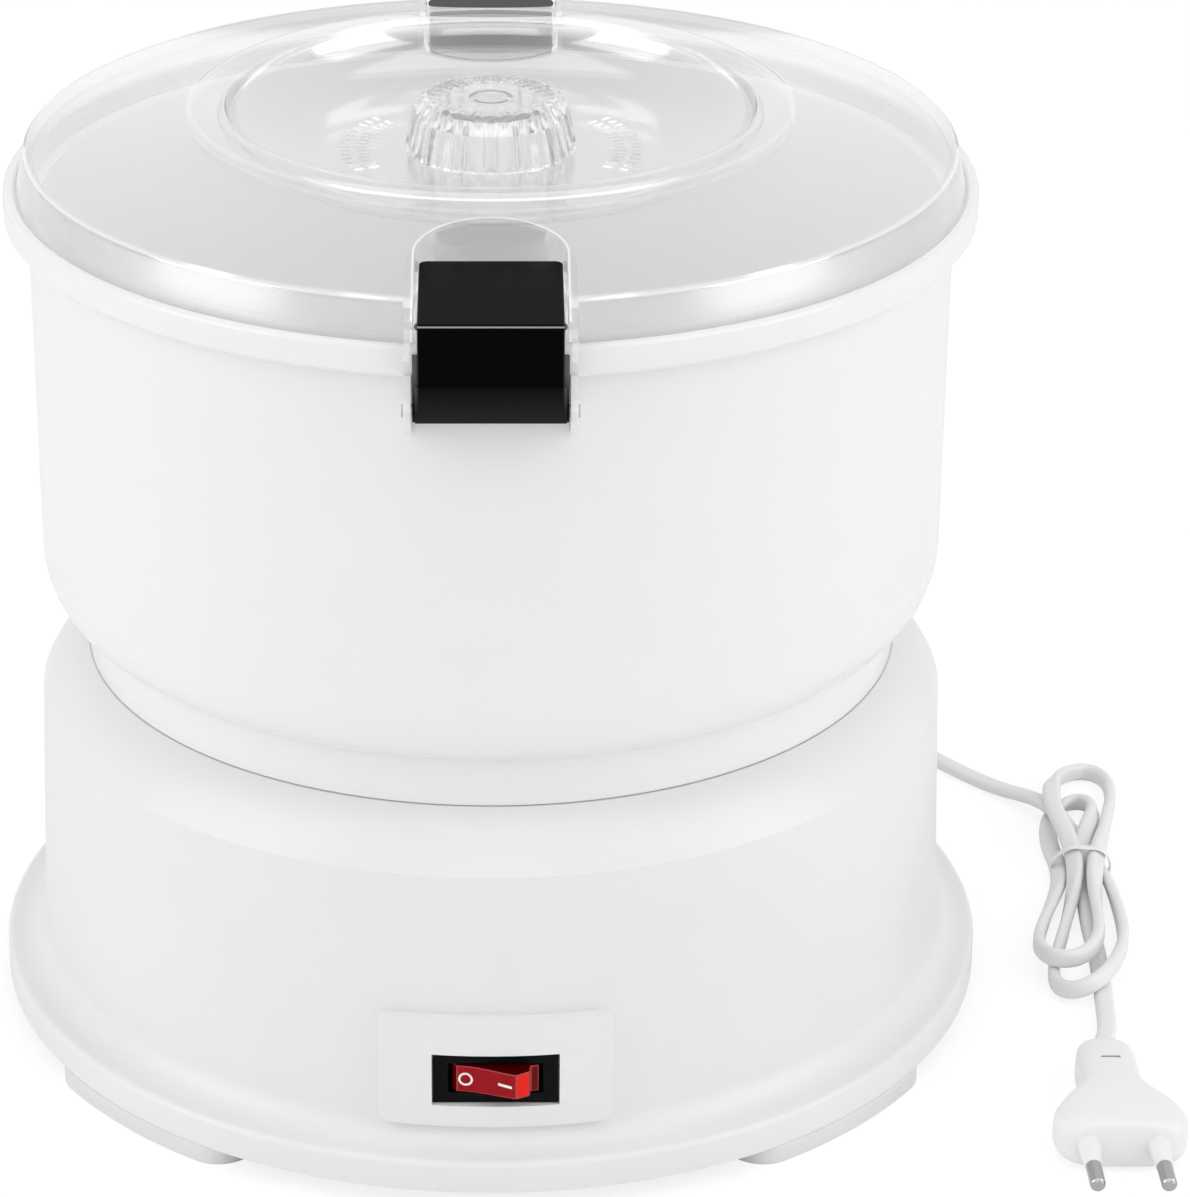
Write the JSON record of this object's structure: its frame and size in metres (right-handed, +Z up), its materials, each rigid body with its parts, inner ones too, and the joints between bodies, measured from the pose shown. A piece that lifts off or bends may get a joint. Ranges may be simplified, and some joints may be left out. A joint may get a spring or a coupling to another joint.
{
  "type": "electric potato peeler",
  "caption": "Round countertop potato peeler: white bowl with turning disc on a motor base, clear domed lid held by black clips, red rocker switch and mains lead.",
  "frame": {"origin": "on the floor, on the vertical axis of the bowl and the disc", "axes": "+Z up along the bowl's axis, the switch faces -Y, the mains lead leaves at the back towards +Y and lies at +X"},
  "size_m": [0.3194, 0.3101, 0.2477],
  "materials": {
    "white_plastic": "glossy moulded ABS",
    "grey_plastic": "matte moulded",
    "foot_rubber": "soft satin",
    "steel": "plated",
    "lamination_steel": "stacked laminations",
    "bronze": "sintered",
    "brass": "machined",
    "seal_rubber": "moulded",
    "copper_wire": "lacquered windings",
    "carbon": "pressed carbon",
    "black_plastic": "glossy",
    "red_plastic": "translucent glossy",
    "gear_nylon": "moulded nylon",
    "white_insulation": "insulation",
    "cord_white": "satin PVC",
    "plated_pin": "nickel plated",
    "disc_plastic": "moulded",
    "abrasive": "coarse bonded grit",
    "clear_plastic": "clear polycarbonate"
  },
  "bodies": {
    "base": {"base_housing": "white_plastic", "base_plate": "grey_plastic", "foot_front_left": "foot_rubber", "foot_front_right": "foot_rubber", "foot_rear_left": "foot_rubber", "foot_rear_right": "foot_rubber", "base_screws": "steel", "gear_plate": "steel", "gear_plate_screws": "steel", "idler_axle": "steel", "spindle_lower_bush": "bronze", "spindle_upper_bush": "bronze", "spindle_seal": "seal_rubber", "stator_core": "lamination_steel", "field_coils": "copper_wire", "motor_top_bracket": "steel", "motor_bottom_bracket": "steel", "motor_bushes": "bronze", "brush_holders": "brass", "carbon_brushes": "carbon", "switch_body": "black_plastic", "switch_terminals": "brass", "terminal_block": "white_insulation", "wiring": "white_insulation", "strain_relief": "cord_white", "cord_lead": "cord_white", "cord_hank": "cord_white", "cord_tie": "cord_white", "cord_tail": "cord_white", "plug_body": "cord_white", "plug_sleeves": "cord_white", "plug_pins": "plated_pin"},
    "motor_rotor": {"motor_shaft": "steel", "armature_core": "lamination_steel", "armature_windings": "copper_wire", "commutator": "bronze", "cooling_fan": "black_plastic", "motor_pinion": "brass"},
    "idler": {"idler_gear": "gear_nylon"},
    "spindle": {"drive_spindle": "steel", "output_gear": "gear_nylon", "spindle_clip": "steel"},
    "rocker": {"switch_rocker": "red_plastic"},
    "bowl": {"bowl": "white_plastic", "bowl_bush": "gear_nylon", "front_latch_pin": "steel", "rear_latch_pin": "steel"},
    "front_clip": {"front_latch": "black_plastic"},
    "rear_clip": {"rear_latch": "black_plastic"},
    "disc": {"peeling_disc": "disc_plastic", "disc_abrasive": "abrasive"},
    "lid": {"lid": "clear_plastic", "lid_knob": "clear_plastic"}
  },
  "joints": [
    {"name": "bowl_lift", "type": "slide", "parent": "base", "child": "bowl", "axis": [0, 0, 1], "range_m": [0, 0.05]},
    {"name": "disc_spin", "type": "hinge", "parent": "bowl", "child": "disc", "pos_m": [0, 0, 0.12], "axis": [0, 0, 1], "continuous": true},
    {"name": "spindle_spin", "type": "hinge", "parent": "base", "child": "spindle", "pos_m": [0, 0, 0.08], "axis": [0, 0, 1], "continuous": true},
    {"name": "idler_spin", "type": "hinge", "parent": "base", "child": "idler", "pos_m": [-0.03094, 0.03094, 0.08], "axis": [0, 0, 1], "continuous": true},
    {"name": "rotor_spin", "type": "hinge", "parent": "base", "child": "motor_rotor", "pos_m": [-0.04594, 0.00496, 0.05], "axis": [0, 0, 1], "continuous": true},
    {"name": "lid_lift", "type": "slide", "parent": "bowl", "child": "lid", "axis": [0, 0, 1], "range_m": [0, 0.018]},
    {"name": "front_latch_swing", "type": "hinge", "parent": "bowl", "child": "front_clip", "pos_m": [0, -0.1246, 0.212], "axis": [1, 0, 0], "range_deg": [0, 120]},
    {"name": "rear_latch_swing", "type": "hinge", "parent": "bowl", "child": "rear_clip", "pos_m": [0, 0.1246, 0.212], "axis": [-1, 0, 0], "range_deg": [0, 120]},
    {"name": "switch_rock", "type": "hinge", "parent": "base", "child": "rocker", "pos_m": [0.0012, -0.1182, 0.0322], "axis": [0, 0, 1], "range_deg": [0, 28]}
  ],
  "couplings": [
    {"joint": "spindle_spin", "follows": "disc_spin", "ratio": 1},
    {"joint": "idler_spin", "follows": "disc_spin", "ratio": -4},
    {"joint": "rotor_spin", "follows": "disc_spin", "ratio": 16},
    {"joint": "front_latch_swing", "follows": "lid_lift", "rad_per_m": 116.35},
    {"joint": "rear_latch_swing", "follows": "lid_lift", "rad_per_m": 116.35}
  ]
}
